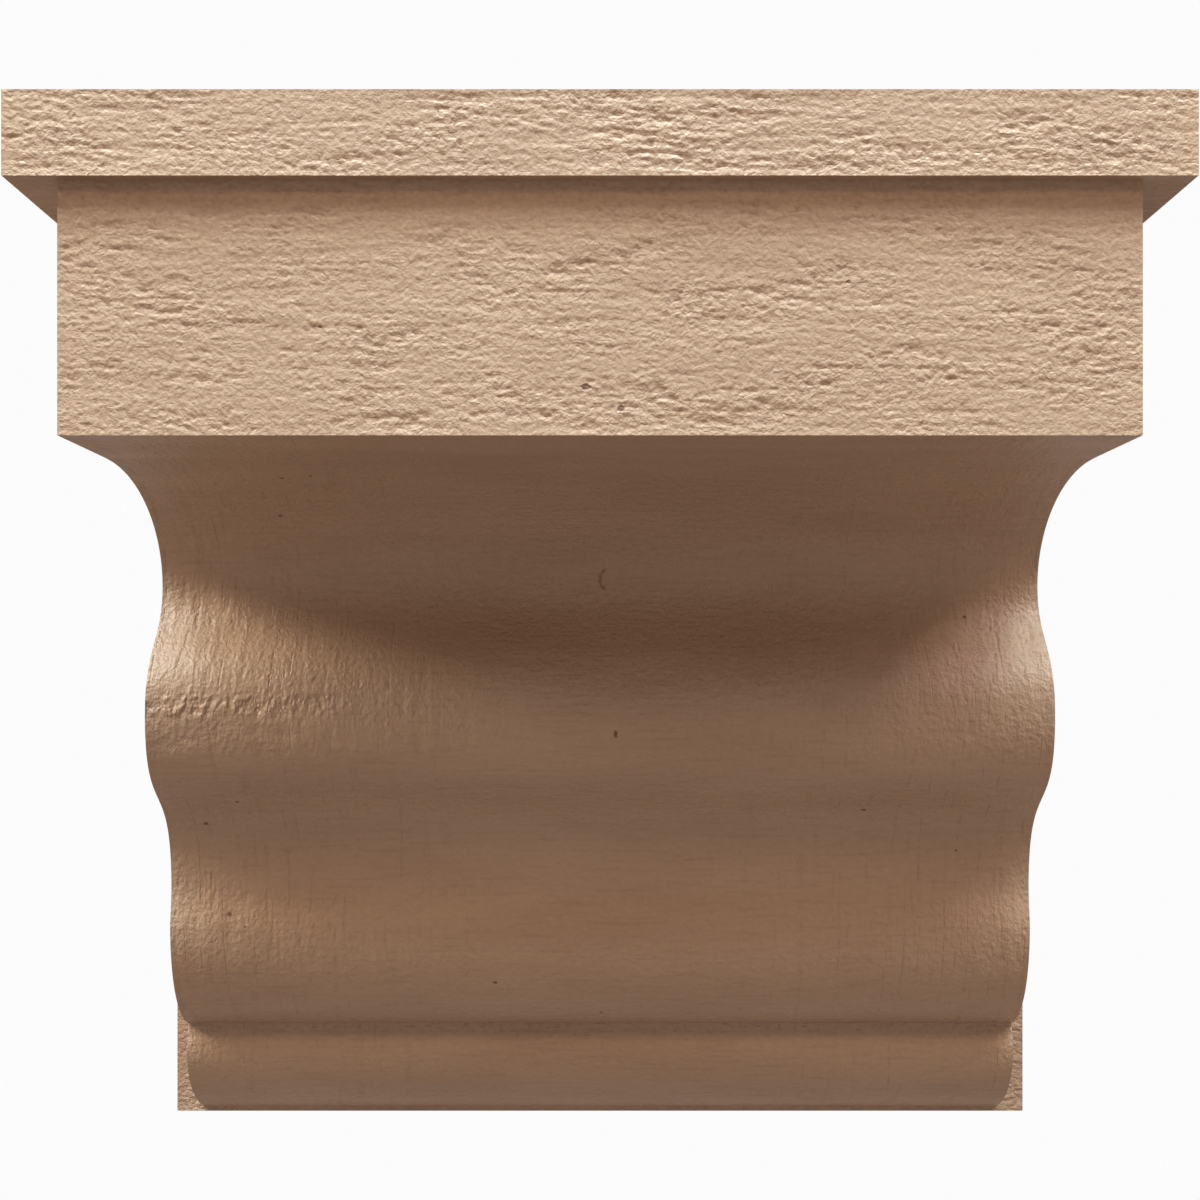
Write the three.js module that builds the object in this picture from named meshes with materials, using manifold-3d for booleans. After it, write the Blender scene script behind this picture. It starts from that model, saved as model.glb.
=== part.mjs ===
// Corbel: a wide flat cap on a plain square block, over a body of coves and rolls,
// with a flat back plate behind it all. It is moulded in one piece, so it is one solid.
//
// Millimetres, +Z up. The origin is the middle of the flat back that goes against the wall.
// The corbel reaches out from the wall towards -Y, and X runs across it.

import * as THREE from 'three';
import { mergeVertices } from 'three/addons/utils/BufferGeometryUtils.js';
import Module from 'manifold-3d';

const wasm = await Module();
wasm.setup();

// Widths, across the corbel
const cap_width = 254;
const body_width = 232;
const plate_width = 247.5;

// Reaches, out from the front face of the back plate
const plate_thickness = 17.7;
const block_reach = 132;
const cap_front_overhang = 2.7;
const soffit_run = 34.7;
const cove_reach = 46.2;
const roll_reach = 63.4;
const hollow_reach = 37.1;
const lower_roll_reach = 38.4;
const crease_reach = 18.3;
const lobe_reach = 20;

// Heights, each member's own, from the top down
const cap_thickness = 18.3;
const block_height = 54.7;
const cove_drop = 26.9;
const roll_drop = 34;
const hollow_drop = 47.4;
const lower_roll_drop = 10.4;
const crease_drop = 29.6;
const lobe_front_drop = 6.8;
const lobe_foot_drop = 21.2;
const plate_reveal = 1.35;

// How full each curve is where it leaves or meets a member, as a share of that curve's own height
// (of its own run, where it leaves the soffit)
const cove_leaves_soffit = 0.59;
const cove_meets_back = 0.53;
const cove_leaves_back = 0.42;
const roll_meets_front = 0.53;
const roll_leaves_front = 0.6;
const hollow_meets_back = 0.68;
const hollow_leaves_back = 0.35;
const lower_roll_meets_front = 0.29;
const lower_roll_leaves_front = 0.4;
const lobe_leaves_crease = 0.35;
const lobe_meets_front = 0.4;
const lobe_leaves_front = 0.62;

// The slopes at which two curves end: the lower roll tucking into the crease, and the lobe at its foot
const crease_slope = 0.3;
const crease_approach = 14;
const foot_slope = 0.4;
const foot_approach = 5;

const steps_per_curve = 12;

const moulded_tan = new THREE.MeshStandardMaterial({ color: 0xc8ac8a, roughness: 0.72, metalness: 0 });

const body_height = block_height + cove_drop + roll_drop + hollow_drop + lower_roll_drop
  + crease_drop + lobe_front_drop + lobe_foot_drop;
const corbel_height = cap_thickness + body_height + plate_reveal;
const top = corbel_height / 2;
const bottom = -corbel_height / 2;
const cap_underside = top - cap_thickness;
const cap_depth = plate_thickness + block_reach + cap_front_overhang;

// The body's side profile, with x out from the wall and y up. It starts inside the plate and the cap,
// goes round the block, and follows the coves and rolls down to the foot of the lobe.
function body_profile() {
  const inside_cap = cap_underside + cap_thickness / 2;
  const inside_plate = plate_thickness / 2;
  const block_front = plate_thickness + block_reach;
  const soffit = cap_underside - block_height;
  const soffit_end = block_front - soffit_run;

  const profile = new THREE.Shape();
  profile.moveTo(inside_plate, inside_cap);
  profile.lineTo(block_front, inside_cap);
  profile.lineTo(block_front, soffit);
  profile.lineTo(soffit_end, soffit);

  // The big cove leaves the soffit level and ends upright at its deepest point.
  let x = plate_thickness + cove_reach;
  let y = soffit - cove_drop;
  profile.bezierCurveTo(
    soffit_end - cove_leaves_soffit * (soffit_end - x), soffit,
    x, y + cove_meets_back * cove_drop,
    x, y,
  );

  // A curve that is upright at both ends, down to a member that reaches so far out
  const curve_down_to = (reach, drop, leaves, meets) => {
    const next_x = plate_thickness + reach;
    profile.bezierCurveTo(x, y - leaves * drop, next_x, y - drop + meets * drop, next_x, y - drop);
    x = next_x;
    y -= drop;
  };

  // A curve that starts upright and comes in towards the wall at a slope
  const curve_in_to = (next_x, drop, leaves, approach, slope) => {
    const next_y = y - drop;
    profile.bezierCurveTo(x, y - leaves * drop, next_x + approach, next_y + slope * approach, next_x, next_y);
    x = next_x;
    y = next_y;
  };

  curve_down_to(roll_reach, roll_drop, cove_leaves_back, roll_meets_front);
  curve_down_to(hollow_reach, hollow_drop, roll_leaves_front, hollow_meets_back);
  curve_down_to(lower_roll_reach, lower_roll_drop, hollow_leaves_back, lower_roll_meets_front);
  curve_in_to(plate_thickness + crease_reach, crease_drop, lower_roll_leaves_front,
    crease_approach, crease_slope);
  curve_down_to(lobe_reach, lobe_front_drop, lobe_leaves_crease, lobe_meets_front);
  curve_in_to(plate_thickness, lobe_foot_drop, lobe_leaves_front, foot_approach, foot_slope);

  profile.lineTo(inside_plate, y);
  profile.closePath();
  return profile;
}

// A closed geometry as a solid that can be joined to others
function to_solid(geometry) {
  const bare = geometry.clone();
  bare.deleteAttribute('normal');
  bare.deleteAttribute('uv');
  const merged = mergeVertices(bare, 1e-4);
  return new wasm.Manifold(new wasm.Mesh({
    numProp: 3,
    vertProperties: new Float32Array(merged.attributes.position.array),
    triVerts: new Uint32Array(merged.index.array),
  }));
}

function to_geometry(solid) {
  const mesh = solid.getMesh();
  const geometry = new THREE.BufferGeometry();
  geometry.setAttribute('position', new THREE.BufferAttribute(mesh.vertProperties, 3));
  geometry.setIndex(new THREE.BufferAttribute(mesh.triVerts, 1));
  geometry.computeVertexNormals();
  return geometry;
}

// A box as wide as given about the middle, out from the wall by its depth, between two heights
function wall_box(width, depth, low, high) {
  const geometry = new THREE.BoxGeometry(width, depth, high - low);
  geometry.translate(0, -depth / 2, (low + high) / 2);
  return to_solid(geometry);
}

// The side profile drawn out across the corbel
function body_solid() {
  const geometry = new THREE.ExtrudeGeometry(body_profile(), {
    depth: body_width,
    bevelEnabled: false,
    curveSegments: steps_per_curve,
  });
  const across = new THREE.Vector3(-1, 0, 0);
  const outwards = new THREE.Vector3(0, -1, 0);
  const upwards = new THREE.Vector3(0, 0, 1);
  geometry.applyMatrix4(new THREE.Matrix4().makeBasis(outwards, upwards, across));
  geometry.translate(body_width / 2, 0, 0);
  return to_solid(geometry);
}

const cap = wall_box(cap_width, cap_depth, cap_underside, top);
const plate = wall_box(plate_width, plate_thickness, bottom, cap_underside + cap_thickness / 2);
const joined = cap.add(plate).add(body_solid());

const corbel = new THREE.Mesh(to_geometry(joined), moulded_tan);
corbel.name = 'corbel';

const group = new THREE.Group();
group.add(corbel);

export default group;
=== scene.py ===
# %% [markdown]
# # A moulded corbel
# A corbel is the bracket under a beam or a shelf. This one is cast in one piece from light rigid
# foam: a flat cap, a plain block, and a scrolled body of coves and rolls on a flat back plate. The
# casting copies rough-sawn timber and is primed an even tan. The solid model already has the true
# outline, so this lesson leaves that shape alone and gives it its skin: the saw marks as real
# relief in the mesh, and the finer grain, pits and paint in the materials.

# %% Load the solid model as a fixed frame
import math

import bmesh
import bpy
import numpy as np
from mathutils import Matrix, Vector
from mathutils.geometry import delaunay_2d_cdt


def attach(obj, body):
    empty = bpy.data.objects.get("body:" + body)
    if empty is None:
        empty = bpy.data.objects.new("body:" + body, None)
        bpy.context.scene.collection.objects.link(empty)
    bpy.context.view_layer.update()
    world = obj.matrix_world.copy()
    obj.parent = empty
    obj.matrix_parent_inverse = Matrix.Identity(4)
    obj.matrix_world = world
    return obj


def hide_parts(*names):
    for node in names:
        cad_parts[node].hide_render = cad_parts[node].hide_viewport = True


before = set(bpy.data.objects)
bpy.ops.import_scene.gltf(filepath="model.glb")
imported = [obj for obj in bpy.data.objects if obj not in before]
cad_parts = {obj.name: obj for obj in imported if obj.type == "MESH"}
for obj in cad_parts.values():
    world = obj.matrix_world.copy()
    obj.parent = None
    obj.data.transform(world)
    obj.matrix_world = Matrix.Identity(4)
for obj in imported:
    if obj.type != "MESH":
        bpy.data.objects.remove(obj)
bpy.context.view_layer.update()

MM = 0.001
# Points closer than this count as one
TOUCHING = 0.001 * MM
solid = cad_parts["corbel"]

# %% [markdown]
# ## Reading the shape from the solid
# Every size below is measured on the solid, so the skin always fits it. A cut through the middle
# gives the side profile as one closed loop. Triangles leave extra points along its straight runs,
# and those are dropped. What is left is corners and the points of the curves.


# %% Cut the solid in the middle to get its profile
def middle_section(obj):
    """The loop where the plane x = 0 cuts the object, as (y, z) pairs in order."""
    mesh = bmesh.new()
    mesh.from_mesh(obj.data)
    bmesh.ops.remove_doubles(mesh, verts=mesh.verts, dist=TOUCHING)
    everything = mesh.verts[:] + mesh.edges[:] + mesh.faces[:]
    bmesh.ops.bisect_plane(
        mesh, geom=everything, plane_co=(0, 0, 0), plane_no=(1, 0, 0), clear_inner=True, clear_outer=True
    )
    vertex = mesh.verts[:][0]
    edge = vertex.link_edges[0]
    loop = []
    for _ in range(len(mesh.verts)):
        loop.append((vertex.co.y, vertex.co.z))
        vertex = edge.other_vert(vertex)
        edge = next(e for e in vertex.link_edges if e != edge)
    mesh.free()
    return np.array(loop)


def drop_points_on_straights(loop, tolerance=0.002 * MM):
    """The same loop without the points that lie on a straight line between their neighbours."""
    before = np.roll(loop, 1, axis=0)
    after = np.roll(loop, -1, axis=0)
    run = after - before
    offset = loop - before
    area = run[:, 0] * offset[:, 1] - run[:, 1] * offset[:, 0]
    return loop[np.abs(area) / np.linalg.norm(run, axis=1) > tolerance]


section = drop_points_on_straights(middle_section(solid))
start = np.argmax(section[:, 1] - section[:, 0])
section = np.roll(section, -start, axis=0)
if section[1, 0] > section[0, 0] + MM:
    section = np.roll(section[::-1], 1, axis=0)
print("profile points:", len(section))

# %% Find the corners and the widths
SHARP_TURN = math.radians(30)

arriving = section - np.roll(section, 1, axis=0)
leaving = np.roll(section, -1, axis=0) - section
turn = np.arctan2(
    arriving[:, 0] * leaving[:, 1] - arriving[:, 1] * leaving[:, 0],
    (arriving * leaving).sum(axis=1),
)
corner_rows = np.flatnonzero(np.abs(turn) > SHARP_TURN)
cap_top, cap_foot, block_top, block_foot, crease, lobe_foot, plate_foot, *_ = corner_rows
print("corners at:", [tuple(np.round(section[row] / MM, 1)) for row in corner_rows])

corner_x = sorted({round(abs(v.co.x), 5) for v in solid.data.vertices})
body_half, plate_half, cap_half = corner_x
front_y, top_z = section[cap_top]
cap_under_z = section[cap_foot][1]
block_y = section[block_top][0]
soffit_z = section[block_foot][1]
plate_y, foot_z = section[lobe_foot]
bottom_z = section[plate_foot][1]
soffit_end_y = section[block_foot + 1][0]
print("half widths of body, plate and cap:", [round(x / MM, 2) for x in corner_x])

# %% [markdown]
# ## Smooth curves from the solid's facets
# The solid draws each curve as a dozen straight steps. A Catmull-Rom spline runs through all of
# those points and rounds them off, so the coves and rolls shade smoothly. Even steps along the
# spline give the rows of the new mesh.


# %% Resample a curve at even steps
def gaps(points):
    """How far each point is from the next."""
    return np.linalg.norm(np.diff(points, axis=0), axis=1)


def distance_along(points):
    """How far along the line through all the points each of them lies."""
    return np.concatenate([[0], np.cumsum(gaps(points))])


def resample(points, step, fine=24):
    """Points at even steps along a smooth curve through the given points, ends included."""
    slope = np.gradient(points, distance_along(points), axis=0)
    smooth = []
    for i, length in enumerate(gaps(points)):
        t = np.linspace(0, 1, fine, endpoint=False)[:, None]
        smooth.append(
            points[i] * (2 * t**3 - 3 * t**2 + 1)
            + slope[i] * length * (t**3 - 2 * t**2 + t)
            + points[i + 1] * (3 * t**2 - 2 * t**3)
            + slope[i + 1] * length * (t**3 - t**2)
        )
    smooth = np.concatenate(smooth + [points[-1:]])
    along = distance_along(smooth)
    count = max(1, round(along[-1] / step))
    even = np.linspace(0, along[-1], count + 1)
    return np.stack([np.interp(even, along, smooth[:, k]) for k in (0, 1)], axis=1)


def straight(a, b, step):
    """Points at even steps from a to b, ends included."""
    a, b = np.asarray(a, float), np.asarray(b, float)
    count = max(1, round(np.linalg.norm(b - a) / step))
    return a + (b - a) * np.linspace(0, 1, count + 1)[:, None]


# %% [markdown]
# ## One closed skin
# The front of the corbel carries the deepest saw marks, so it gets the finest mesh: bands of small
# quads, wider than they are high, because the marks run across. The flat sides, top and back need
# far fewer faces. A constrained Delaunay triangulation fills each of them. It takes up every vertex
# that a neighbour already put on the shared edge, so the skin stays closed.
#
# Each vertex keeps three notes for later: which way is inwards, where it lies along and across the
# grain, and how far it is from the edge of its face.

# %% Start a skin, and add bands of quads to it
FRONT_COLUMN = 0.9 * MM
FRONT_ROW = 0.42 * MM
BODY_COLUMN = 0.98 * MM
BODY_ROW = 1.42 * MM
SIDE_STEP = 3.0 * MM
HIDDEN_STEP = 6.0 * MM

skin = {"points": [], "inward": [], "grain": [], "margin": [], "faces": [], "zones": []}
ZONES = ["rough_front", "scroll", "flat"]


def add_patch(points, inward, grain, margin, faces, zone):
    """Adds one patch of the skin. faces holds rows of vertex numbers, counted within the patch."""
    start = sum(len(block) for block in skin["points"])
    patch_number = len(skin["points"])
    grain = np.column_stack([grain, np.full(len(grain), float(patch_number))])
    skin["points"].append(points)
    skin["inward"].append(np.broadcast_to(inward, points.shape))
    skin["grain"].append(grain)
    skin["margin"].append(margin)
    skin["faces"].extend([[start + n for n in face] for face in faces])
    skin["zones"].extend([ZONES.index(zone)] * len(faces))


def add_band(profile, half_width, column, zone, along_start=0.0):
    """A band of quads: the (y, z) profile drawn out across the corbel."""
    across = straight([-half_width], [half_width], column)[:, 0]
    rows, columns = len(profile), len(across)
    along = distance_along(profile)
    tangent = np.gradient(profile, along, axis=0)
    tangent /= np.linalg.norm(tangent, axis=1)[:, None]
    points = np.zeros((rows, columns, 3))
    points[..., 0] = across
    points[..., 1:] = profile[:, None, :]
    inward = np.zeros_like(points)
    inward[..., 1] = -tangent[:, None, 1]
    inward[..., 2] = tangent[:, None, 0]
    grain = np.zeros((rows, columns, 2))
    grain[..., 0] = across
    grain[..., 1] = (along_start + along)[:, None]
    from_ends = np.minimum(along, along[-1] - along)[:, None]
    from_sides = (half_width - np.abs(across))[None, :]
    margin = np.minimum(from_ends, from_sides)
    i, j = np.meshgrid(np.arange(rows - 1), np.arange(columns - 1), indexing="ij")
    corner = (i * columns + j).ravel()
    faces = np.stack([corner, corner + columns, corner + columns + 1, corner + 1], axis=1)
    points, inward, grain = (grid.reshape(-1, grid.shape[2]) for grid in (points, inward, grain))
    add_patch(points, inward, grain, margin.ravel(), faces.tolist(), zone)
    return along[-1]


# %% Draw the bands down the front
cap_front = straight(section[cap_top], section[cap_foot], FRONT_ROW)
block_front = straight(section[block_top], section[block_foot], FRONT_ROW)
scroll = resample(section[block_foot + 1 : crease + 1], BODY_ROW)
lobe = resample(section[crease : lobe_foot + 1], BODY_ROW)

add_band(cap_front, cap_half, FRONT_COLUMN, "rough_front")
add_band(block_front, body_half, FRONT_COLUMN, "rough_front")
scroll_length = add_band(scroll, body_half, BODY_COLUMN, "scroll")
add_band(lobe, body_half, BODY_COLUMN, "scroll", scroll_length)
print("bands:", len(skin["faces"]), "quads; the scroll is", round(scroll_length / MM, 1), "mm long")


# %% Find the points of a flat face
def on_edge(a, b, step):
    """The points from a up to b, without b: those that the skin already has there, or new ones."""
    a, b = np.asarray(a, float), np.asarray(b, float)
    length = np.linalg.norm(b - a)
    if length < step:
        return a[None]
    known = np.concatenate(skin["points"])
    along = (known - a) @ (b - a) / length
    aside = np.linalg.norm(known - a - along[:, None] * (b - a) / length, axis=1)
    touching = (aside < TOUCHING) & (along > TOUCHING) & (along < length - TOUCHING)
    if touching.any():
        order = np.argsort(along[touching])
        found = known[touching][order]
        keep = np.concatenate([[True], np.diff(along[touching][order]) > TOUCHING])
        return np.concatenate([a[None], found[keep]])
    return straight(a, b, step)[:-1]


def inside(points, border):
    """Which 2-D points lie inside a closed border."""
    result = np.zeros(len(points), bool)
    for (x0, y0), (x1, y1) in zip(border, np.roll(border, -1, axis=0)):
        if y0 == y1:
            continue
        crosses = (y0 > points[:, 1]) != (y1 > points[:, 1])
        result ^= crosses & (points[:, 0] < (x1 - x0) * (points[:, 1] - y0) / (y1 - y0) + x0)
    return result


def from_border(points, border):
    """How far each 2-D point is from the nearest point of the border."""
    nearest = np.full(len(points), np.inf)
    for dot in border:
        nearest = np.minimum(nearest, np.linalg.norm(points - dot, axis=1))
    return nearest


# %% Fill a flat face from its corners
# The least gap between the border and the points inside it, as a share of the step
BORDER_GAP = 0.55


def add_flat(corners, right, up, zone="flat", grain_along="right", step=SIDE_STEP):
    """A flat face. right and up are its own axes, and right x up points out of the corbel."""
    corners = [np.asarray(c, float) for c in corners]
    right, up = np.array(right, float), np.array(up, float)
    outline = np.concatenate([on_edge(a, b, step) for a, b in zip(corners, corners[1:] + corners[:1])])
    level = outline[0] - right * (outline[0] @ right) - up * (outline[0] @ up)
    border = np.stack([outline @ right, outline @ up], axis=1)
    low, high = border.min(axis=0), border.max(axis=0)
    u, v = np.meshgrid(
        np.arange(low[0] + step / 2, high[0], step),
        np.arange(low[1] + step / 2, high[1], step),
    )
    u[1::2] += step / 2
    lattice = np.stack([u.ravel(), v.ravel()], axis=1)
    lattice = lattice[inside(lattice, border)]
    lattice = lattice[from_border(lattice, border) > BORDER_GAP * step]
    flat = np.concatenate([border, lattice])
    loop = list(range(len(border)))
    spots, _, faces, *_ = delaunay_2d_cdt([Vector(p) for p in flat], [], [loop], 1, 1e-9)
    spots = np.array([tuple(p) for p in spots])
    points = level + spots[:, :1] * right + spots[:, 1:] * up
    margin = from_border(spots, border)
    grain = spots if grain_along == "right" else spots[:, ::-1]
    add_patch(points, -np.cross(right, up), grain, margin, faces, zone)


# %% Fill the soffit, the sides and the hidden faces
X, Y, Z = np.eye(3)


def upright(x, front, low, high):
    """The corners of an upright side on the right, from its front edge back to the wall."""
    return [(x, front, low), (x, 0, low), (x, 0, high), (x, front, high)]


def level(height, *places):
    """The corners of a level face, each given by its x and y."""
    return [(x, y, height) for x, y in places]


def mirrored(corners, sign):
    """The corners of a side face, put on the right side, or on the left in the opposite order."""
    placed = [np.multiply(corner, (sign, 1, 1)) for corner in corners]
    return placed if sign > 0 else placed[::-1]


body_rows = [section[block_top], section[block_foot], *scroll, *lobe[1:], (plate_y, cap_under_z)]
body_side = [(body_half, *row) for row in body_rows]
plate_side = upright(plate_half, plate_y, bottom_z, cap_under_z)
cap_side = upright(cap_half, front_y, cap_under_z, top_z)
soffit_left = [(-body_half, block_y), (-body_half, soffit_end_y)]
soffit_right = [(body_half, soffit_end_y), (body_half, block_y)]
soffit = level(soffit_z, *soffit_left, *soffit_right)
add_flat(soffit, Y, X, "scroll", "up")
for sign in (1, -1):
    axes = (Y, Z) if sign > 0 else (Z, Y)
    grain_along = "right" if sign > 0 else "up"
    for side in (body_side, plate_side, cap_side):
        add_flat(mirrored(side, sign), *axes, "flat", grain_along)
print("with the soffit and sides:", len(skin["faces"]), "faces")

# %% Fill the cap's underside and top, and the back plate
outer_corners = [(cap_half, front_y), (cap_half, 0), (plate_half, 0)]
inner_corners = [(plate_half, plate_y), (body_half, plate_y), (body_half, block_y)]
cap_under_right = level(cap_under_z, *outer_corners, *inner_corners)
cap_under = cap_under_right + mirrored(cap_under_right, -1)
plate_front_right = [
    (plate_half, plate_y, bottom_z),
    (plate_half, plate_y, cap_under_z),
    (body_half, plate_y, cap_under_z),
    (body_half, plate_y, foot_z),
]
plate_front = plate_front_right + mirrored(plate_front_right, -1)
plate_under_right = level(bottom_z, (plate_half, plate_y), (plate_half, 0))
plate_under = plate_under_right + mirrored(plate_under_right, -1)
cap_roof = level(top_z, (-cap_half, front_y), (cap_half, front_y), (cap_half, 0), (-cap_half, 0))
back_right = [
    (plate_half, 0, bottom_z),
    (plate_half, 0, cap_under_z),
    (cap_half, 0, cap_under_z),
    (cap_half, 0, top_z),
]
back = back_right + mirrored(back_right, -1)

add_flat(cap_under, Y, X, "flat", "up")
add_flat(plate_front, X, Z, "flat")
add_flat(plate_under, Y, X, "flat", "up")
add_flat(cap_roof, X, Y, "flat", step=HIDDEN_STEP)
add_flat(back, Z, X, "flat", "up", HIDDEN_STEP)
print("all faces:", len(skin["faces"]))

# %% [markdown]
# ## Joining the patches
# Points that two patches share are one point in the finished mesh. The grain coordinates go into
# a UV map, in metres, because there each face keeps its own, even along a shared edge. The same
# notes also go in as attributes, where the relief can read them.

# %% Weld the patches into one mesh
EDGE_FADE = 1.6 * MM
WELD = 0.0001 * MM
PATCH_SHIFT = 0.6

kept = ("points", "inward", "grain", "margin")
all_points, all_inward, all_grain, all_margin = (np.concatenate(skin[key]) for key in kept)
place_key = np.round(all_points / WELD).astype(np.int64)
_, first, number = np.unique(place_key, axis=0, return_index=True, return_inverse=True)
number = number.ravel()
welded_faces = [[int(number[n]) for n in face] for face in skin["faces"]]

blank_mesh = bpy.data.meshes.new("corbel_skin")
blank_mesh.from_pydata(all_points[first].tolist(), [], welded_faces)
blank_mesh.update()
print("welded:", len(blank_mesh.vertices), "vertices,", len(blank_mesh.polygons), "faces")

# %% Lay out the grain, and note the zones on the faces
loop_source = np.concatenate([np.array(face) for face in skin["faces"]])
grain_uv = all_grain[loop_source, :2] + all_grain[loop_source, 2:] * (PATCH_SHIFT, 0.0)
uv_layer = blank_mesh.uv_layers.new(name="grain")
uv_layer.data.foreach_set("uv", grain_uv.astype(np.float32).ravel())

zone_of_face = np.array(skin["zones"], np.int32)
blank_mesh.attributes.new("zone", "INT", "FACE").data.foreach_set("value", zone_of_face)
print("faces in each zone:", dict(zip(ZONES, np.bincount(zone_of_face).tolist())))

# %% Leave notes on the points
CREASE_REACH = 3.5 * MM


def note_on_points(name, values):
    """Stores a number or a vector for every vertex under a name."""
    values = np.asarray(values, np.float32)
    kind, field = ("FLOAT", "value") if values.ndim == 1 else ("FLOAT_VECTOR", "vector")
    blank_mesh.attributes.new(name, kind, "POINT").data.foreach_set(field, values.ravel())


shared = np.bincount(number, minlength=len(first)) > 1
margin = np.where(shared, 0.0, all_margin[first])
fade = np.clip(margin / EDGE_FADE, 0, 1)
fade = fade * fade * (3 - 2 * fade)
note_on_points("inward", all_inward[first])
note_on_points("grain_place", all_grain[first] / (MM, MM, 1))
note_on_points("edge_fade", fade)

share_of_zone = np.eye(len(ZONES))
patch_zone = np.zeros(len(skin["points"]), int)
patch_zone[all_grain[loop_source, 2].astype(int)] = np.repeat(zone_of_face, [len(f) for f in skin["faces"]])
note_on_points("zone_share", share_of_zone[patch_zone[all_grain[first, 2].astype(int)]])

# Pocks near the crease are later painted dark, as shade
from_crease = np.abs(all_points[first, 2] - section[crease][1])
note_on_points("near_crease", np.exp(-from_crease / CREASE_REACH))
print("points on a shared edge:", int(shared.sum()))


# %% Keep the true edges crisp
def add_object(name, data):
    """Puts a mesh, a light or a camera into the scene. Returns its new object."""
    obj = bpy.data.objects.new(name, data)
    bpy.context.scene.collection.objects.link(obj)
    return obj


blank_mesh.shade_smooth()
blank_mesh.set_sharp_from_angle(angle=SHARP_TURN)
blank_piece = add_object("corbel_blank", blank_mesh)
print("triangles:", sum(len(face.vertices) - 2 for face in blank_mesh.polygons))

# %% [markdown]
# ## Small helpers for node trees
# Geometry trees and material trees share many kinds of node, so the same helpers build both. Each
# input gets either a plain value or another node's output to link.


# %% Helpers that place nodes
def add_node(tree, kind, values=None, **settings):
    """Places a node with its settings, and sets or links its inputs, given by name or by number."""
    node = tree.nodes.new(kind)
    for name, value in settings.items():
        setattr(node, name, value)
    for key, value in (values or {}).items():
        if isinstance(value, bpy.types.NodeSocket):
            tree.links.new(value, node.inputs[key])
        else:
            node.inputs[key].default_value = value
    return node


def tree_of(*values):
    """The node tree that the values come from. At least one of them is a node's output."""
    return next(value.id_data for value in values if isinstance(value, bpy.types.NodeSocket))


def add_sockets(tree, direction, sockets):
    """Gives a tree its named inputs or outputs: name, kind and, for an input, its usual value."""
    for name, kind, *usual in sockets:
        socket = tree.interface.new_socket(name, in_out=direction, socket_type=kind)
        if usual:
            socket.default_value = usual[0]


def end_tree(*results):
    """Links the results to the tree's outputs in order. Returns the finished tree."""
    tree = tree_of(*results)
    add_node(tree, "NodeGroupOutput", dict(enumerate(results)))
    return tree


# %% Helpers for arithmetic and noise
def maths(operation, *values, clamp=False):
    """One step of arithmetic. Returns its output."""
    settings = {"operation": operation, "use_clamp": clamp}
    return add_node(tree_of(*values), "ShaderNodeMath", dict(enumerate(values)), **settings).outputs[0]


def times(first, *others, clamp=False):
    """All the values multiplied."""
    for other in others:
        first = maths("MULTIPLY", first, other, clamp=clamp)
    return first


def times_plus(first, second, third, clamp=False):
    """The first two values multiplied, plus the third."""
    return maths("MULTIPLY_ADD", first, second, third, clamp=clamp)


def plus(first, second):
    return maths("ADD", first, second)


def minus(first, second):
    return maths("SUBTRACT", first, second)


def ramp(value, low, high):
    """0 below low, 1 above high, and a smooth rise between them."""
    values = {"Value": value, "From Min": low, "From Max": high}
    return add_node(tree_of(value), "ShaderNodeMapRange", values, interpolation_type="SMOOTHSTEP").outputs[0]


def noise(place, detail=2.0, roughness=0.5, distortion=0.0):
    """Soft random values about 0.5, one unit apart at the coarsest."""
    values = {"Vector": place, "Scale": 1.0, "Detail": detail, "Roughness": roughness}
    return add_node(tree_of(place), "ShaderNodeTexNoise", {**values, "Distortion": distortion}).outputs[0]


def separate(vector):
    """The three numbers of a vector."""
    return add_node(tree_of(vector), "ShaderNodeSeparateXYZ", {0: vector}).outputs


# %% [markdown]
# ## The relief as real shape
# The corbel has two textures. Its flat front copies timber off a coarse saw: short lumps of torn
# fibre, rougher in some patches than in others, with long tears and low furrows between them. The
# scroll is smoother. Shallow flutes run down over its rolls, and one coarse torn band lies low on the
# upper roll, at its left end.
#
# A displacement map could fake that, but an exported model would lose it, so a Geometry Nodes tree
# moves the vertices themselves. It only ever moves them inwards: the corbel stays within the solid's
# own size. The tree reads the notes made above, and its depths and lengths are named inputs, in
# millimetres, so that the finish can be tuned like any other size. It leaves notes of its own, such
# as how rough a patch is, so that the materials put their fine grain in the same places.

# %% Helpers that the relief is made of
# Far enough apart that no two patches of the skin carry the same marks
PATCH_OFFSET = 7.3


def stretched(place, length, height, seed):
    """Grain coordinates squeezed so that one unit is a mark's length along and its height across."""
    along, across, patch = separate(place)
    squeezed = {0: maths("DIVIDE", along, length), 1: maths("DIVIDE", across, height)}
    squeezed[2] = times_plus(patch, PATCH_OFFSET, seed)
    return add_node(tree_of(place), "ShaderNodeCombineXYZ", squeezed).outputs[0]


def mark_noise(place, given, mark, offset, **look):
    """Soft random values in one kind of mark's named length and height, with its own seed."""
    seed = plus(given["Seed"], offset)
    return noise(stretched(place, given[mark + " length"], given[mark + " height"], seed), **look)


def note(tree, name, kind="FLOAT"):
    """Reads a note from the vertices."""
    return add_node(tree, "GeometryNodeInputNamedAttribute", {"Name": name}, data_type=kind).outputs[0]


def is_zone(tree, name):
    """1 on the faces of a zone, and 0 elsewhere."""
    values = {2: note(tree, "zone", "INT"), 3: ZONES.index(name)}
    return add_node(tree, "FunctionNodeCompare", values, data_type="INT", operation="EQUAL").outputs[0]


def thin_lines(value, width):
    """1 along the lines where a noise passes its middle value, and 0 away from them."""
    off_centre = maths("ABSOLUTE", minus(value, 0.5))
    return minus(1.0, ramp(off_centre, 0.0, width))


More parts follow.
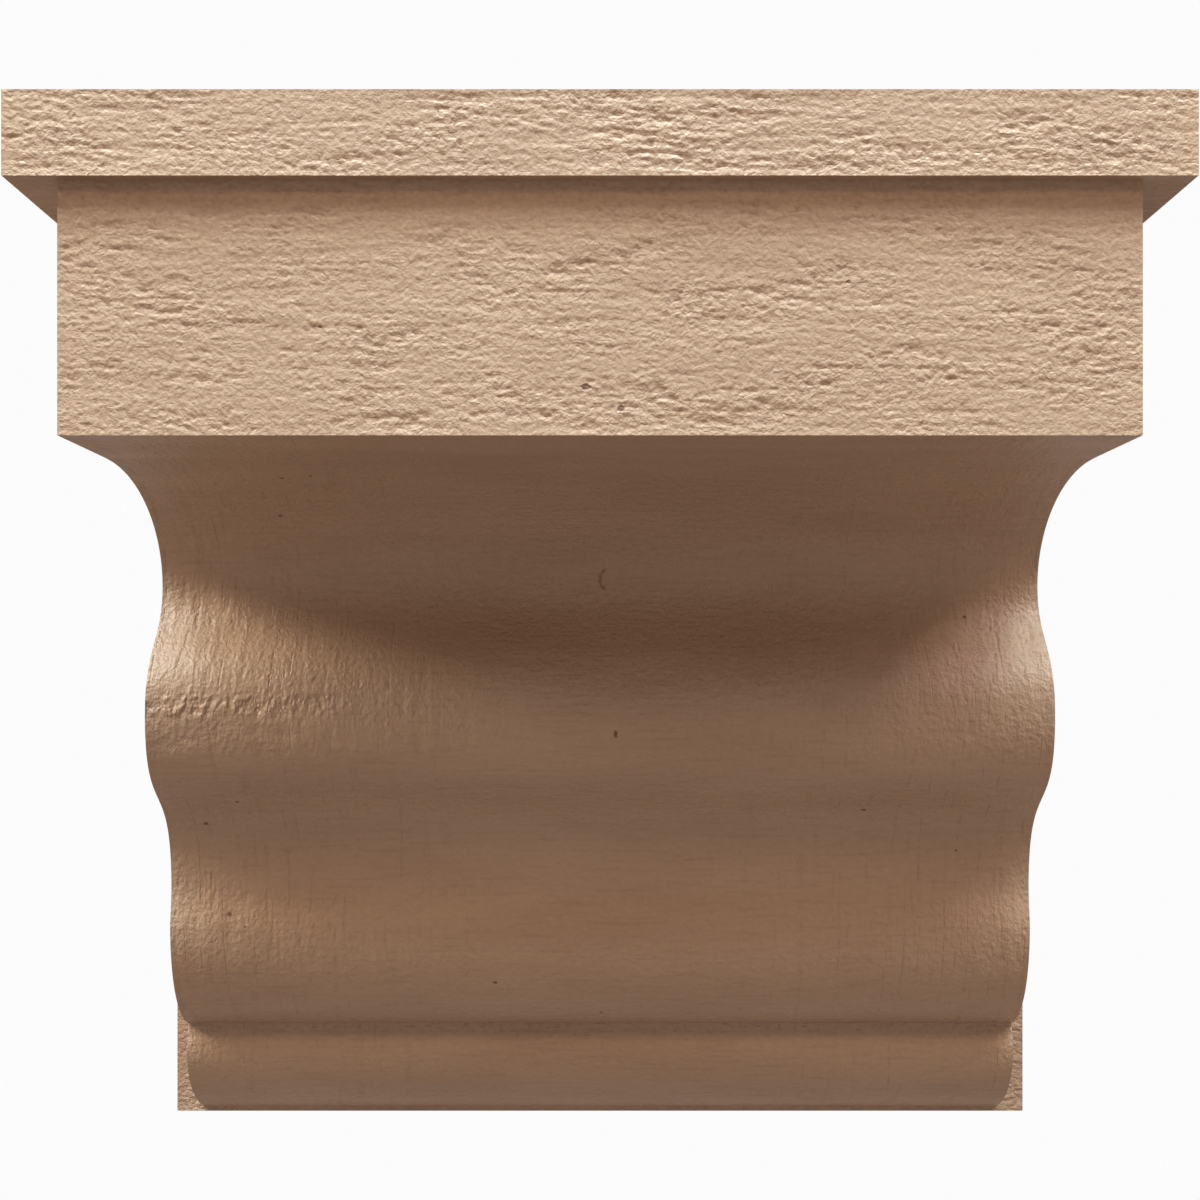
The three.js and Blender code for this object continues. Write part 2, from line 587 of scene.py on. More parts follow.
# %% Torn fibres on the flat front
def torn_fibres(place, given):
    """0 on the proud fibres and up to 1 in the gaps and tears, and how rough each patch is."""
    patches = mark_noise(place, given, "Patch", 9.7, detail=3.0)
    rough_patch = times_plus(ramp(patches, 0.4, 0.6), 0.5, 0.5)

    lumps = mark_noise(place, given, "Fibre", 0.0, detail=1.5, roughness=0.65)
    gaps = times(ramp(lumps, 0.52, 0.28), rough_patch)

    tears = mark_noise(place, given, "Tear", 3.1, roughness=0.6, distortion=0.3)
    tears = thin_lines(tears, 0.09)
    gate = ramp(mark_noise(place, given, "Gate", 5.9), 0.45, 0.6)
    torn_patch = times(ramp(patches, 0.45, 0.6), gate)
    tears = times(tears, torn_patch)

    furrows = mark_noise(place, given, "Furrow", 12.1, distortion=0.3)
    furrows = ramp(furrows, 0.5, 0.34)
    depth = times_plus(tears, given["Tear share"], gaps)
    return times_plus(furrows, given["Furrow share"], depth), rough_patch


# %% Flutes and a torn band on the scroll
# How far the band's edge wanders up and down, in mm
BAND_WANDER = 2.5


def flutes(place, given):
    """Shallow flutes that run down over the rolls, with soft dips between them."""
    grooves = mark_noise(place, given, "Flute", 5.2, detail=1.5, roughness=0.55, distortion=0.15)
    grooves = ramp(grooves, 0.62, 0.3)
    dips = mark_noise(place, given, "Dip", 6.4, detail=1.5)
    return times_plus(dips, 0.8, grooves)


def torn_band(place, given, position):
    """The depth of the chunky ridges in the band and of the long tears under it, and the band's mask."""
    from_middle = maths("DIVIDE", position[0], MM)
    to_right = ramp(from_middle, given["Band full to"], given["Band gone by"])
    at_left = minus(1.0, to_right)
    wander = noise(stretched(place, 4.0, 9.0, 1.0))
    wander = times_plus(wander, 2 * BAND_WANDER, -BAND_WANDER)
    drop = plus(maths("DIVIDE", position[2], -MM), given["Band top"])
    drop = plus(drop, wander)

    width = given["Band width"]
    top_edge = ramp(drop, 0.0, 0.9)
    foot = ramp(drop, width, times(width, 0.6))
    soft_foot = ramp(drop, width, times(width, 0.1))
    chunk_spot = stretched(place, given["Chunk gap"], width, plus(given["Seed"], 2.6))
    chunks = ramp(noise(chunk_spot, detail=1.5, roughness=0.6, distortion=0.4), 0.58, 0.36)
    band = times(chunks, top_edge, soft_foot)

    under = minus(drop, width)
    near_under = times(ramp(under, -0.5, 2.0), ramp(under, 9.0, 4.0))
    long_tears = mark_noise(place, given, "Long tear", 8.8, detail=1.5, distortion=0.3)
    long_tears = times(ramp(long_tears, 0.5, 0.36), near_under)
    depth = times_plus(long_tears, 0.4, band)
    band_mask = times(top_edge, foot)
    return times(depth, at_left), times(band_mask, at_left)


# %% Name the sizes of the relief
RELIEF_SIZES = {
    "Seed": 4.0,
    "Fibre depth": 0.25,
    "Cap extra": 0.25,
    "Tear share": 0.6,
    "Furrow share": 0.22,
    "Flute depth": 0.16,
    "Streaks from": 10.0,
    "Streaks full by": 70.0,
    "Band depth": 0.6,
    "Band top": -3.6,
    "Band width": 6.0,
    "Band full to": -80.0,
    "Band gone by": -52.0,
    "Chunk gap": 2.0,
    "Wave depth": 0.4,
}
MARK_SIZES = {
    "Fibre": (1.4, 1.2),
    "Patch": (30.0, 11.0),
    "Tear": (11.0, 2.4),
    "Gate": (14.0, 4.0),
    "Furrow": (26.0, 2.8),
    "Flute": (3.2, 26.0),
    "Dip": (6.0, 4.0),
    "Long tear": (14.0, 1.9),
    "Wave": (40.0, 16.0),
}
for mark, (length, height) in MARK_SIZES.items():
    RELIEF_SIZES[mark + " length"] = length
    RELIEF_SIZES[mark + " height"] = height
print("named sizes of the relief:", len(RELIEF_SIZES))


# %% Helpers that finish the relief
def leave_notes(tree, shape, notes):
    """Stores each note on the vertices, for the materials to read."""
    kind = {"data_type": "FLOAT", "domain": "POINT"}
    for name, value in notes.items():
        values = {"Geometry": shape, "Name": name, "Value": value}
        shape = add_node(tree, "GeometryNodeStoreNamedAttribute", values, **kind).outputs[0]
    return shape


def set_materials(tree, shape, given):
    """Gives every face the first zone's material, and then each other zone its own."""
    for zone in ZONES:
        values = {"Geometry": shape, "Material": given[zone]}
        if zone != ZONES[0]:
            values["Selection"] = is_zone(tree, zone)
        shape = add_node(tree, "GeometryNodeSetMaterial", values).outputs[0]
    return shape


# %% Build the relief tree
def build_relief():
    tree = bpy.data.node_groups.new("faux_wood_relief", "GeometryNodeTree")
    add_sockets(tree, "INPUT", [("Geometry", "NodeSocketGeometry")])
    add_sockets(tree, "INPUT", [(name, "NodeSocketFloat", value) for name, value in RELIEF_SIZES.items()])
    add_sockets(tree, "INPUT", [(zone, "NodeSocketMaterial") for zone in ZONES])
    add_sockets(tree, "OUTPUT", [("Geometry", "NodeSocketGeometry")])
    given = tree.nodes.new("NodeGroupInput").outputs
    place = note(tree, "grain_place", "FLOAT_VECTOR")
    position = separate(tree.nodes.new("GeometryNodeInputPosition").outputs[0])
    on_front, on_scroll, on_flat = separate(note(tree, "zone_share", "FLOAT_VECTOR"))

    fibres, rough_patch = torn_fibres(place, given)
    torn = times(fibres, on_front)
    fluted = times(flutes(place, given), on_scroll)
    band, band_mask = torn_band(place, given, position)
    band = times(band, on_scroll)
    wave_spot = stretched(place, given["Wave length"], given["Wave height"], 3.3)
    wavy = times(noise(wave_spot), on_flat)

    on_cap = maths("GREATER_THAN", position[2], cap_under_z)
    deeper = times_plus(on_cap, given["Cap extra"], 1.0)
    depth = times(torn, deeper, given["Fibre depth"])
    depth = times_plus(fluted, given["Flute depth"], depth)
    depth = times_plus(band, given["Band depth"], depth)
    depth = times_plus(wavy, given["Wave depth"], depth)
    depth = times(depth, note(tree, "edge_fade"), MM)
    move = {0: note(tree, "inward", "FLOAT_VECTOR"), "Scale": depth}
    move = add_node(tree, "ShaderNodeVectorMath", move, operation="SCALE").outputs[0]
    values = {"Geometry": given["Geometry"], "Offset": move}
    shape = add_node(tree, "GeometryNodeSetPosition", values).outputs[0]

    from_middle = maths("DIVIDE", maths("ABSOLUTE", position[0]), MM)
    near_ends = ramp(from_middle, given["Streaks from"], given["Streaks full by"])
    # The depth of the tears and the band, kept for the painted shade in the materials
    hollow_shade = maths("MAXIMUM", torn, band)
    notes = {"hollow_shade": hollow_shade, "torn_band": band_mask, "rough_patch": rough_patch, "near_ends": near_ends}
    shape = leave_notes(tree, shape, notes)
    shape = add_node(tree, "GeometryNodeRealizeInstances", {"Geometry": shape}).outputs[0]
    return end_tree(set_materials(tree, shape, given))


relief = build_relief()
print("relief tree:", len(relief.nodes), "nodes")

# %% [markdown]
# ## The materials
# The real casting has one coat of tan primer all over, so every face shares its colour. What differs
# is the surface under it: torn lumps on the flat front, a finer skin with streaks down over the rolls
# on the scroll, and a plainer face on the sides and back. The effects that they share are shader node
# groups, built once. Each material places them with its own sizes.
#
# The groups read the UV map that was laid out in metres along the grain, so a mark keeps its size on
# every face and turns round the rolls with the surface. A few marks stand out on the real casting,
# some small dents and one bowed scuff, so they have places of their own on that map.


# %% Helpers for shader groups
def new_group(name, inputs, outputs):
    """Starts a shader group that reads a place in the grain. Returns its inputs."""
    tree = bpy.data.node_groups.new(name, "ShaderNodeTree")
    add_sockets(tree, "INPUT", [("Place", "NodeSocketVector")])
    for label, value in inputs.items():
        kind = "NodeSocketColor" if isinstance(value, tuple) else "NodeSocketFloat"
        add_sockets(tree, "INPUT", [(label, kind, value)])
    for label in outputs:
        kind = "NodeSocketColor" if label == "Colour" else "NodeSocketFloat"
        add_sockets(tree, "OUTPUT", [(label, kind)])
    return tree.nodes.new("NodeGroupInput").outputs


def mix_colour(factor, first, second):
    """The first colour where the factor is 0, and the second where it is 1."""
    values = {0: factor, 6: first, 7: second}
    return add_node(tree_of(factor), "ShaderNodeMix", values, data_type="RGBA").outputs[2]


def mix_number(factor, first, second):
    """The first number where the factor is 0, and the second where it is 1."""
    values = {0: factor, 2: first, 3: second}
    return add_node(tree_of(factor), "ShaderNodeMix", values, data_type="FLOAT").outputs[0]


def away_from(given):
    """How far a place is from the chosen one, along and across the grain."""
    along, across, _ = separate(given["Place"])
    aside = minus(along, given["Along"])
    return aside, minus(across, given["Across"])


def length_of(aside, below):
    square = times_plus(aside, aside, times(below, below))
    return maths("SQRT", square)


# %% Grain and scratches
def build_grain():
    """Fibres of a given length and height, between 0 and 1. Creased ones are round with narrow gaps."""
    sizes = {"Length": 2.0, "Height": 0.6, "Creased": 0.0, "Seed": 0.0}
    given = new_group("grain", sizes, ["Fibre"])
    spot = stretched(given["Place"], given["Length"], given["Height"], given["Seed"])
    plain = noise(spot, roughness=0.45)
    off_centre = maths("ABSOLUTE", minus(plain, 0.5))
    pillows = maths("POWER", times(off_centre, 4.0, clamp=True), 0.6)
    return end_tree(mix_number(given["Creased"], plain, pillows))


def build_scratches():
    """Sparse thin lines in one direction, 1 in a line and 0 beside it. They break off here and there."""
    sizes = {"Length": 30.0, "Height": 5.0, "Width": 0.02, "Break length": 15.0, "Break height": 3.0}
    given = new_group("scratches", {**sizes, "Share": 0.3, "Seed": 0.0}, ["Line"])
    spot = stretched(given["Place"], given["Length"], given["Height"], given["Seed"])
    line = thin_lines(noise(spot, detail=1.0, roughness=0.4), given["Width"])
    gate_seed = plus(given["Seed"], 4.4)
    gate_spot = stretched(given["Place"], given["Break length"], given["Break height"], gate_seed)
    low = minus(0.68, times(given["Share"], 0.4))
    gate = ramp(noise(gate_spot, detail=3.0), low, plus(low, 0.1))
    return end_tree(times(line, gate))


grain = build_grain()
scratches = build_scratches()
print("shader groups:", grain.name, "and", scratches.name)


# %% Pinholes, dents and a scuff
def build_pinholes():
    """Small uneven pits, scattered one to a cell, where only a few cells have one."""
    given = new_group("pinholes", {"Spacing": 9.0, "Share": 0.1}, ["Pit"])
    spot = stretched(given["Place"], given["Spacing"], given["Spacing"], 0.0)
    values = {"Vector": spot, "Scale": 1.0}
    cell = add_node(tree_of(spot), "ShaderNodeTexVoronoi", values, voronoi_dimensions="2D")
    chance, size, _ = separate(cell.outputs["Color"])
    chosen = maths("LESS_THAN", chance, given["Share"])
    ragged = noise(stretched(given["Place"], 0.8, 0.8, 2.0))
    distance = times(cell.outputs["Distance"], given["Spacing"])
    reach = times_plus(size, 0.35, -0.1)
    reach = times_plus(ragged, 0.9, reach)
    dot = ramp(distance, reach, times(reach, 0.3))
    return end_tree(times(dot, chosen))


def build_dent():
    """How far a place is from the middle of one dent, where 1 is the dent's own edge."""
    sizes = {"Along": 0.0, "Across": 0.0, "Half length": 0.7, "Half height": 0.5}
    given = new_group("dent", sizes, ["Distance"])
    aside, below = away_from(given)
    aside = maths("DIVIDE", aside, given["Half length"])
    below = maths("DIVIDE", below, given["Half height"])
    return end_tree(length_of(aside, below))


def build_scuff():
    """A thin bowed mark at a chosen place, like the left side of a ring. 1 in it and 0 outside."""
    sizes = {"Along": 0.0, "Across": 0.0, "Radius": 3.0, "Width": 0.5}
    given = new_group("scuff", sizes, ["Dent"])
    aside, below = away_from(given)
    off_ring = minus(length_of(aside, below), given["Radius"])
    thin = ramp(maths("ABSOLUTE", off_ring), given["Width"], 0.0)
    left_side = ramp(aside, -0.8, -2.2)
    return end_tree(times(thin, left_side))


pinholes = build_pinholes()
dent = build_dent()
scuff = build_scuff()
print("shader groups:", pinholes.name, dent.name, "and", scuff.name)

# %% The tan primer
PRIMER_LIGHT = (0.50, 0.352, 0.236, 1.0)
# The deep tan is both a random change of tone and the painted shade of the hollows
PRIMER_DEEP_AND_SHADE = (0.344, 0.217, 0.135, 1.0)
# Painted shade: the pits, pocks and dents get this dark brown in place of the shade inside them
PIT_SHADE_BROWN = (0.21, 0.12, 0.073, 1.0)


def build_primer():
    """Tan primer: a slow change of tone, duller and a deeper tan in the hollows as painted shade, and dark
    in the pits as painted shade.
    """
    inputs = {"Light tan": PRIMER_LIGHT, "Deep tan": PRIMER_DEEP_AND_SHADE}
    inputs.update({"Hollow": 0.0, "Pit": 0.0, "Smoothest": 0.45})
    given = new_group("tan_primer", inputs, ["Colour", "Roughness"])
    slow = ramp(noise(stretched(given["Place"], 60.0, 16.0, 2.0), detail=3.0), 0.3, 0.7)
    fine = ramp(noise(stretched(given["Place"], 2.4, 1.2, 5.0), detail=3.0), 0.3, 0.7)
    lines = ramp(noise(stretched(given["Place"], 16.0, 1.1, 9.0)), 0.52, 0.7)
    tone = times_plus(slow, 0.25, times(fine, 0.15))
    tone = times_plus(lines, 0.2, tone)
    # Painted shade: the hollows, tears and lines take the deep tan in place of their real shade
    tone = times_plus(given["Hollow"], 0.6, tone, clamp=True)
    colour = mix_colour(tone, given["Light tan"], given["Deep tan"])
    # Painted shade in the pits
    colour = mix_colour(given["Pit"], colour, PIT_SHADE_BROWN)
    roughness = times_plus(tone, 0.2, given["Smoothest"])
    return end_tree(colour, maths("MAXIMUM", roughness, given["Pit"]))


primer = build_primer()
print("shader group:", primer.name)

# %% Helpers for marks at their own places
BLOCK_PATCH = 1
SCROLL_PATCH = 2


def place_group(group, place, values):
    """Places a shader group with its values. Returns its outputs."""
    return add_node(tree_of(place), "ShaderNodeGroup", {"Place": place, **values}, node_tree=group).outputs


def read(place, name):
    """Reads a note that the mesh carries."""
    return add_node(tree_of(place), "ShaderNodeAttribute", attribute_name=name).outputs["Fac"]


def on_patch(patch, along):
    """A place along the grain of a patch, as the UV map has it, in mm."""
    return patch * PATCH_SHIFT / MM + along


def dents(place, patch, marks):
    """1 in the dents of one patch, each given by its middle, half length and half height in mm."""
    nearest = 100.0
    for along, across, half_length, half_height in marks:
        values = {"Along": on_patch(patch, along), "Across": across}
        values.update({"Half length": half_length, "Half height": half_height})
        nearest = maths("MINIMUM", nearest, place_group(dent, place, values)["Distance"])
    ragged = noise(stretched(place, 0.7, 0.7, 6.0))
    return ramp(times_plus(ragged, 0.9, nearest), 1.5, 0.9)


# %% Pits and grain that a material is made of
PIT_DEPTH = 0.25
POCK_DEPTH = 0.3
STREAK_DEPTH = 0.26
LUMP_DEPTH = 2.4
SCUFF_DEPTH = 3.0
SCUFF_PLACE = {"Along": on_patch(SCROLL_PATCH, 3.0), "Across": 61.0}


def pitting(place, holes, patch, marks):
    """Pinholes, faint pocks beside the crease and the dents, as one mask, which the primer paints dark brown
    as shade.
    """
    pinhole = place_group(pinholes, place, holes)["Pit"]
    speck = place_group(grain, place, {"Length": 1.6, "Height": 1.2, "Seed": 8.0})["Fibre"]
    pock = times(ramp(speck, 0.58, 0.66), read(place, "near_crease"))
    pit = times_plus(pock, POCK_DEPTH, pinhole, clamp=True)
    if marks:
        pit = maths("MAXIMUM", pit, dents(place, patch, marks))
    return pit


def layered_grain(place, layers):
    """Layers of grain added up, in mm. Each is its length, height, creases and depth."""
    height = 0.0
    for number, (length, across, creased, depth) in enumerate(layers):
        values = {"Length": length, "Height": across, "Creased": creased, "Seed": 1.7 * number}
        fibre = place_group(grain, place, values)["Fibre"]
        if creased:
            fibre = minus(fibre, 1.0)
        height = times_plus(fibre, depth, height)
    return height


def scroll_grain(place):
    """Upright streaks near the scroll's ends, level grain in its middle, and lumps in the torn band."""
    upright = place_group(grain, place, {"Length": 1.5, "Height": 20.0, "Seed": 6.5})["Fibre"]
    level = place_group(grain, place, {"Length": 5.0, "Height": 0.9, "Seed": 9.5})["Fibre"]
    fine = mix_number(read(place, "near_ends"), level, upright)
    lump = place_group(grain, place, {"Length": 2.3, "Height": 3.8})["Fibre"]
    lump = times(minus(lump, 0.5), read(place, "torn_band"))
    return times_plus(lump, LUMP_DEPTH, times(fine, STREAK_DEPTH))


def scroll_lines(place, line):
    """Keeps the lines near the scroll's ends, and adds the one bowed scuff on the cove."""
    # The scuff also takes painted shade, through the lines
    mark = place_group(scuff, place, SCUFF_PLACE)["Dent"]
    line = times(line, read(place, "near_ends"))
    return times_plus(mark, SCUFF_DEPTH, line)


print("the scuff lies at", SCUFF_PLACE)

# %% [markdown]
# ## From marks to a material
# Every material works the same way. The marks add up to one height in millimetres, and a Bump node
# turns that into light and shade. The low spots, tears and lines also take a deeper tan, which is
# painted shade for the shade that would fall in them, and the pits are painted dark as shade. One
# function builds all three, so they can't drift apart.

# %% Put a primed face together
# How much painted shade the lines and the scuff take
LINE_SHADE = 0.22
SHEEN = 0.45


def bare_material(name):
    """A material whose tree is still empty."""
    material = bpy.data.materials.new(name)
    material.use_nodes = True
    material.node_tree.nodes.clear()
    return material, material.node_tree


def low_spot_shade(relief_height, layers):
    """0 at the usual height of the layers and above it, and 1 in their deepest places, which get painted
    shade.
    """
    creases = sum(depth for _, _, creased, depth in layers if creased)
    lumps = sum(depth for _, _, creased, depth in layers if not creased)
    usual = 0.5 * lumps - 0.3 * creases
    return ramp(relief_height, usual, usual - 0.3 * (lumps + creases))


def primed_material(name, layers, lines, line_depth, dark, smoothest, holes, patch=0, marks=()):
    """A primed face. dark is how much painted shade deepens the tan in the hollows, smoothest its least
    roughness.
    """
    material, tree = bare_material(name)
    uv = add_node(tree, "ShaderNodeUVMap", uv_map="grain").outputs[0]
    place = add_node(tree, "ShaderNodeVectorMath", {0: uv, "Scale": 1 / MM}, operation="SCALE").outputs[0]

    pit = pitting(place, holes, patch, marks)
    line = place_group(scratches, place, lines)["Line"]
    relief_height = layered_grain(place, layers)
    if patch == SCROLL_PATCH:
        line = scroll_lines(place, line)
        height = plus(relief_height, scroll_grain(place))
    else:
        roughened = times_plus(read(place, "rough_patch"), 0.7, 0.3)
        relief_height = times(relief_height, roughened)
        height = relief_height
    height = times_plus(line, -line_depth, height)
    height = times_plus(pit, -PIT_DEPTH, height)

    # Painted shade: low spots, tears and lines are given a deeper tan, standing in for their shade
    low = low_spot_shade(relief_height, layers)
    hollow_shade = times(plus(low, read(place, "hollow_shade")), dark)
    hollow_shade = times_plus(line, LINE_SHADE, hollow_shade)
    values = {"Hollow": hollow_shade, "Pit": pit, "Smoothest": smoothest}
    colour, roughness = place_group(primer, place, values)
    bump = add_node(tree, "ShaderNodeBump", {"Height": height, "Distance": MM}).outputs[0]
    values = {"Base Color": colour, "Roughness": roughness, "Normal": bump}
    surface = add_node(tree, "ShaderNodeBsdfPrincipled", {**values, "Specular IOR Level": SHEEN})
    add_node(tree, "ShaderNodeOutputMaterial", {"Surface": surface.outputs[0]})
    return material


# %% Grain, lines and dents for each kind of face
FRONT_LAYERS = [(1.8, 1.5, 0.7, 0.10), (1.05, 1.1, 0.0, 0.24), (0.55, 0.5, 0.0, 0.03)]
SCROLL_LAYERS = [(1.3, 1.8, 0.0, 0.44), (0.65, 0.75, 0.0, 0.17), (2.6, 7.0, 0.0, 0.35)]
FLAT_LAYERS = [(4.0, 2.6, 0.6, 0.4), *FRONT_LAYERS]
ALONG = {"Length": 30.0, "Height": 5.0, "Break length": 6.0, "Break height": 3.0, "Share": 0.12}
DOWN = {"Length": 6.0, "Height": 160.0, "Width": 0.03}
DOWN.update({"Break length": 3.0, "Break height": 5.0, "Share": 0.5})
FEW_PINHOLES = {"Spacing": 30.0, "Share": 0.03}
MORE_PINHOLES = {"Spacing": 24.0, "Share": 0.04}
BLOCK_DENTS = [(-3.0, 44.5, 1.2, 0.8), (4.5, 49.0, 1.0, 0.8), (53.0, 22.0, 0.6, 0.5)]
SCROLL_DENTS = [
    (-105.5, 140.5, 0.8, 0.6),
    (-100.0, 166.5, 0.8, 0.7),
    (70.0, 135.0, 0.7, 0.5),
    (-28.5, 186.0, 0.7, 0.5),
    (-30.5, 208.5, 0.9, 0.4),
    (-78.5, 21.0, 0.6, 0.6),
    (-82.5, 41.0, 0.6, 0.6),
    (4.0, 107.0, 0.6, 1.1),
]
print("dents:", len(BLOCK_DENTS), "on the block and", len(SCROLL_DENTS), "on the scroll")

# %% One material for each kind of face
# dark sets how strong the painted shade in the hollows is
front_finish = {"line_depth": 0.05, "dark": 0.6, "smoothest": 0.46, "holes": FEW_PINHOLES}
scroll_finish = {"line_depth": 0.13, "dark": 0.12, "smoothest": 0.39, "holes": MORE_PINHOLES}
flat_finish = {"line_depth": 0.1, "dark": 0.4, "smoothest": 0.46, "holes": FEW_PINHOLES}
block_marks = {"patch": BLOCK_PATCH, "marks": BLOCK_DENTS}
scroll_marks = {"patch": SCROLL_PATCH, "marks": SCROLL_DENTS}
materials = {
    "rough_front": primed_material("rough_front", FRONT_LAYERS, ALONG, **front_finish, **block_marks),
    "scroll": primed_material("scroll", SCROLL_LAYERS, DOWN, **scroll_finish, **scroll_marks),
    "flat": primed_material("flat", FLAT_LAYERS, ALONG, **flat_finish),
}
print("materials:", list(materials))

# %% [markdown]
# ## Running the tree
# A modifier's inputs are set by each socket's identifier. Then the evaluated object becomes a plain
# mesh, so that the finished piece has no modifier left.


# %% Turn the tree's result into a plain piece
def run_tree(obj, tree, values, name):
    """Runs a geometry tree on an object with the values given by name, and keeps the result as a mesh."""
    modifier = obj.modifiers.new(tree.name, "NODES")
    modifier.node_group = tree
    for item in tree.interface.items_tree:
        if item.in_out == "INPUT" and item.name in values:
            modifier[item.identifier] = values[item.name]
    bpy.context.view_layer.update()
    evaluated = obj.evaluated_get(bpy.context.evaluated_depsgraph_get())
    mesh = bpy.data.meshes.new_from_object(evaluated)
    mesh.name = name
    obj.modifiers.clear()
    return mesh


corbel_mesh = run_tree(blank_piece, relief, {**RELIEF_SIZES, **materials}, "primed_corbel")
bpy.data.objects.remove(blank_piece)
primed_corbel = add_object("primed_corbel", corbel_mesh)
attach(primed_corbel, "root")
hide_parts("corbel")
print("finished piece:", len(corbel_mesh.vertices), "vertices,", [m.name for m in corbel_mesh.materials])

# %% [markdown]
# ## Floor and backdrop
# A pale floor far below runs up into a pale backdrop, so nothing behind the corbel draws the eye. It
# glows evenly by itself and only the camera sees it, so it throws no light or shade of its own on
# the corbel, and the light from behind reaches the corbel through it.


# %% Sweep a floor up into a backdrop
def build_backdrop(width, front, back, floor, ceiling, bend, steps=16):
    line = [(front, floor), (back - bend, floor)]
    for n in range(1, steps):
        angle = math.pi / 2 * n / steps
        line.append((back - bend + bend * math.sin(angle), floor + bend - bend * math.cos(angle)))
    line += [(back, floor + bend), (back, ceiling)]
    vertices = [(x, y, z) for x in (-width / 2, width / 2) for y, z in line]
    count = len(line)
    faces = [(n, n + 1, count + n + 1, count + n) for n in range(count - 1)]
    return vertices, faces


def add_stage(name, vertices, faces, shader, colour):
    """A thing of the studio's own, with one plain shader. It isn't part of the corbel."""
    mesh = bpy.data.meshes.new(name)
    mesh.from_pydata(vertices, [], faces)
    mesh.shade_smooth()
    material, tree = bare_material(name)
    plain = add_node(tree, shader, {"Color": colour}).outputs[0]
    add_node(tree, "ShaderNodeOutputMaterial", {0: plain})
    mesh.materials.append(material)
    obj = add_object(name, mesh)
    return obj


SURROUND_WHITE = (0.97, 0.97, 0.97, 1.0)
sweep = build_backdrop(width=12.0, front=-4.0, back=4.0, floor=-1.4, ceiling=5.0, bend=1.2)
backdrop = add_stage("backdrop", *sweep, "ShaderNodeEmission", SURROUND_WHITE)
for ray in ("diffuse", "glossy", "transmission", "shadow"):
    setattr(backdrop, "visible_" + ray, False)
print("backdrop:", len(backdrop.data.polygons), "faces, seen by the camera alone")

# %% [markdown]
# ## Soft studio light
# The light comes from above and all round, like that of a large tent. A cool overhead softbox leans
# a little forward, so it rakes down the flat front and throws the cap's soft shadow on the block. The
# high and side pairs fill the front from either hand and reach in under the block, and the far and
# rake pairs catch the ends of the rolls. One behind lights the back for views from there. A warm
# surround fills the shade.


# %% Hang the softboxes
def hang_softbox(name, azimuth, elevation, size, power, colour, distance=2.5):
    """A softbox that looks at the corbel. Azimuth 0 is straight in front, 90 to the right."""
    a, e = math.radians(azimuth), math.radians(elevation)
    away = Vector((math.sin(a) * math.cos(e), -math.cos(a) * math.cos(e), math.sin(e)))
    light = bpy.data.lights.new(name, "AREA")
    light.shape = "ELLIPSE"
    light.size, light.size_y = size
    light.energy = power
    light.color = colour
    obj = add_object(name, light)
    obj.location = away * distance
    obj.rotation_euler = (-away).to_track_quat("-Z", "Y").to_euler()
    obj.visible_camera = False


COOL = (0.60, 0.83, 1.0)
NEUTRAL = (0.84, 0.96, 0.92)
PALE_BLUE = (0.78, 0.93, 1.0)
WARM = (1.0, 0.89, 0.76)
PINK = (0.92, 0.85, 1.0)
AMBER = (1.0, 0.66, 0.42)
SOFTBOXES = {
    "overhead": (0, 80, (1.0, 0.8), 203, COOL),
    "high_left": (-42, 65, (0.9, 0.8), 38, PALE_BLUE),
    "high_right": (42, 65, (0.9, 0.8), 41, NEUTRAL),
    "side_left": (-60, 50, (0.8, 0.8), 18, NEUTRAL),
    "side_right": (60, 50, (0.8, 0.8), 19, PINK),
    "far_left": (-80, 35, (0.8, 0.8), 41, WARM),
    "far_right": (80, 35, (0.8, 0.8), 3, WARM),
    "rake_left": (-36, 38, (0.6, 0.5), 6.5, AMBER),
    "rake_right": (36, 38, (0.6, 0.5), 6.0, AMBER),
    "behind": (180, 45, (1.4, 1.0), 40, NEUTRAL),
}
for name, values in SOFTBOXES.items():
    hang_softbox(name, *values)
print("softboxes:", list(SOFTBOXES))

# %% Fill the surround with warm light
WARM_FILL = (0.40, 0.33, 0.297, 1.0)

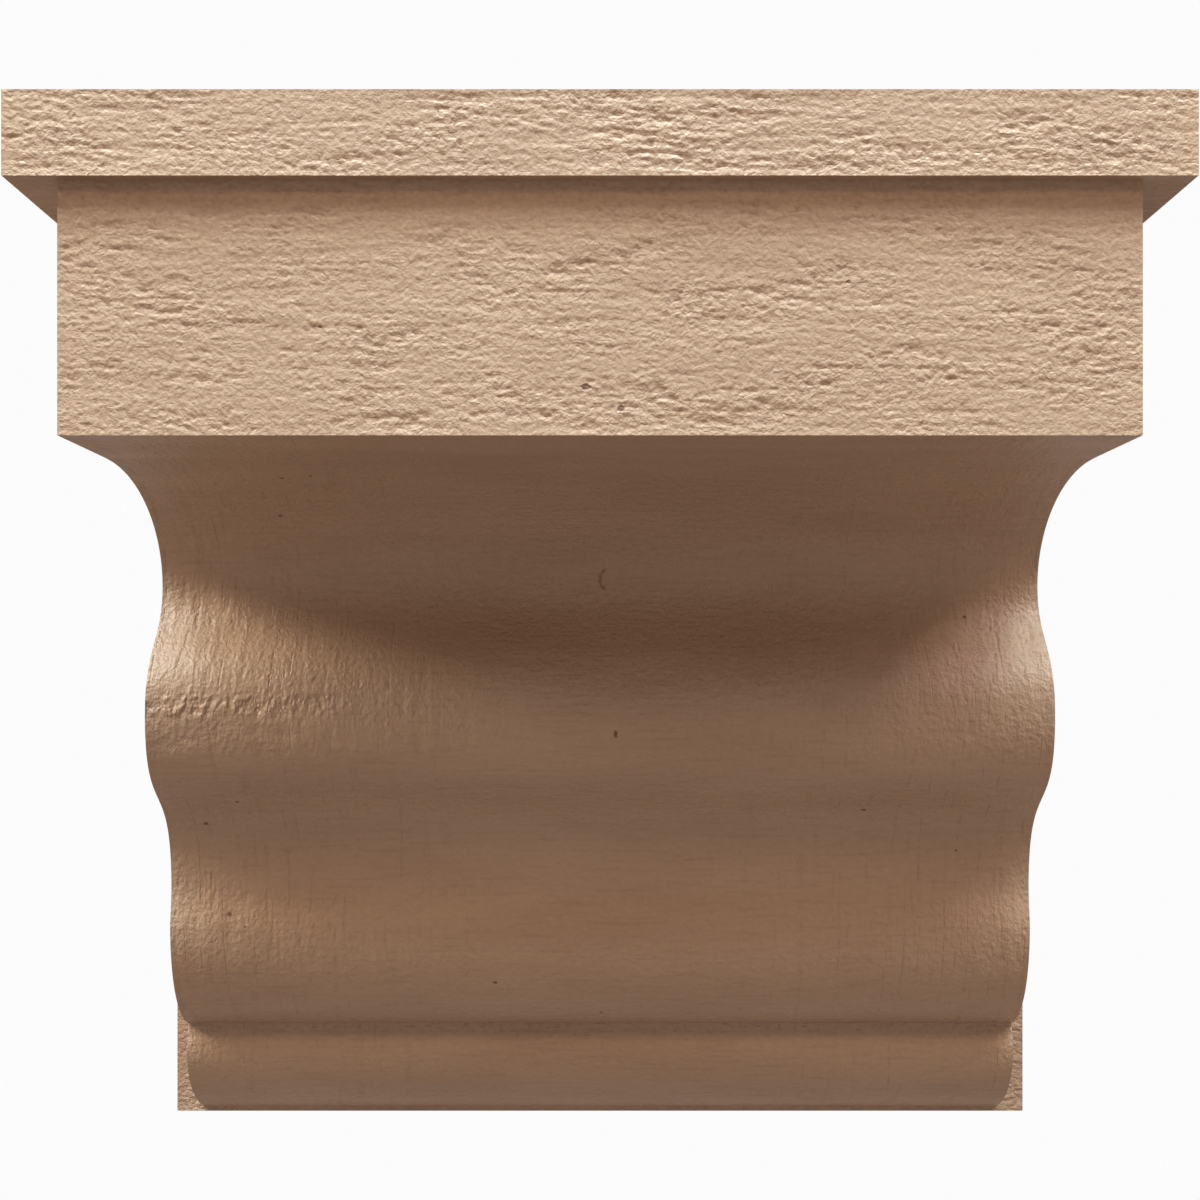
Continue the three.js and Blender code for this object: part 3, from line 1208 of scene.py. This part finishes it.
world = bpy.data.worlds.new("studio")
bpy.context.scene.world = world
world.use_nodes = True
background = world.node_tree.nodes["Background"]
to_camera = add_node(world.node_tree, "ShaderNodeLightPath").outputs["Is Camera Ray"]
surround = mix_colour(to_camera, WARM_FILL, SURROUND_WHITE)
world.node_tree.links.new(surround, background.inputs["Color"])
print("surround:", WARM_FILL[:3], "to the corbel, and near white to the camera")

# %% [markdown]
# ## A scrim over the cap
# Light as steep as this burns out the top of the cap, which shows in a view from above. A
# photographer would hang a scrim there, a net that holds back part of the light. This one passes
# about a quarter of it, a little warmer than it came. It lies just above the cap and is no wider, so
# it dims the top and nothing else, and no camera sees it.

# %% Lay a scrim over the cap
SCRIM_PASSES = (0.26, 0.22, 0.20, 1.0)
SCRIM_HEIGHT = top_z + 0.3 * MM

net = [(x, y, SCRIM_HEIGHT) for x, y, _ in cap_roof]
scrim = add_stage("scrim", net, [(0, 1, 2, 3)], "ShaderNodeBsdfTransparent", SCRIM_PASSES)
scrim.visible_camera = False
print("scrim: passes", SCRIM_PASSES[:3], "of the light to the top of the cap")

# %% [markdown]
# ## The camera
# The photograph was taken from straight in front and close by: its verticals stay upright and
# everything recedes to one point. That point lies below the middle of the frame, so the camera looks
# level and its frame is shifted up a little.

# %% Set up the camera
LENS = 50
SENSOR = 36
PHOTO_SIDE = 1200
BLOCK_HALF_WIDTH_IN_PHOTO = 542.87
VANISHING_ROW = 690
CAMERA_BELOW_MIDDLE = 2.1 * MM

camera_distance = LENS / SENSOR * PHOTO_SIDE * body_half / BLOCK_HALF_WIDTH_IN_PHOTO
camera_data = bpy.data.cameras.new("camera")
camera_data.lens = LENS
camera_data.sensor_width = SENSOR
camera_data.shift_y = (VANISHING_ROW - PHOTO_SIDE / 2) / PHOTO_SIDE
camera_data.clip_start = 0.01
camera = add_object("camera", camera_data)
camera.location = (0, block_y - camera_distance, -CAMERA_BELOW_MIDDLE)
camera.rotation_euler = (math.radians(90), 0, 0)
bpy.context.scene.camera = camera
bpy.context.scene.view_settings.view_transform = "Standard"
print("camera:", round(camera_distance / MM, 1), "mm in front of the block")
